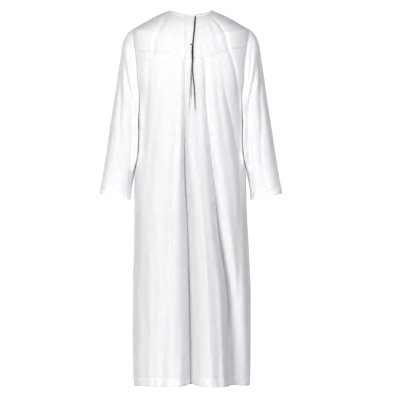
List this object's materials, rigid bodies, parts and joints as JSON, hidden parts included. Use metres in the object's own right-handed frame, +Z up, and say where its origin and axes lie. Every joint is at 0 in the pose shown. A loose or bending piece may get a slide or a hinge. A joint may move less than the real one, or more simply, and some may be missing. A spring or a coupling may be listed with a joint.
{
  "type": "thobe robe, worn form held by the wearer's shoulders",
  "caption": "Ankle-length white robe in its worn hollow form, with a round bound neck, slit front band, chest yoke, long sleeves, deep drape folds and a hanging tassel.",
  "frame": {"origin": "middle of the neck opening, level with the points where the shoulder seams meet the neck, where the wearer's shoulders hold the robe", "axes": "+Z up, -Y towards the front of the robe, +X towards the wearer's left"},
  "size_m": [0.7068, 0.3101, 1.449],
  "materials": {
    "robe_cloth": "smooth matte white poplin",
    "binding_cloth": "white bias binding",
    "tassel_thread": "dark twisted thread",
    "loop_thread": "white thread"
  },
  "bodies": {
    "root": {"front_body": "robe_cloth", "back_body": "robe_cloth", "yoke_right": "robe_cloth", "yoke_left": "robe_cloth", "placket_right": "robe_cloth", "placket_left": "robe_cloth", "neckband": "binding_cloth", "sleeve_right": "robe_cloth", "sleeve_left": "robe_cloth", "tassel_cord": "tassel_thread", "tassel_knot": "tassel_thread", "button_loop": "loop_thread", "tassel": "tassel_thread"}
  },
  "joints": []
}
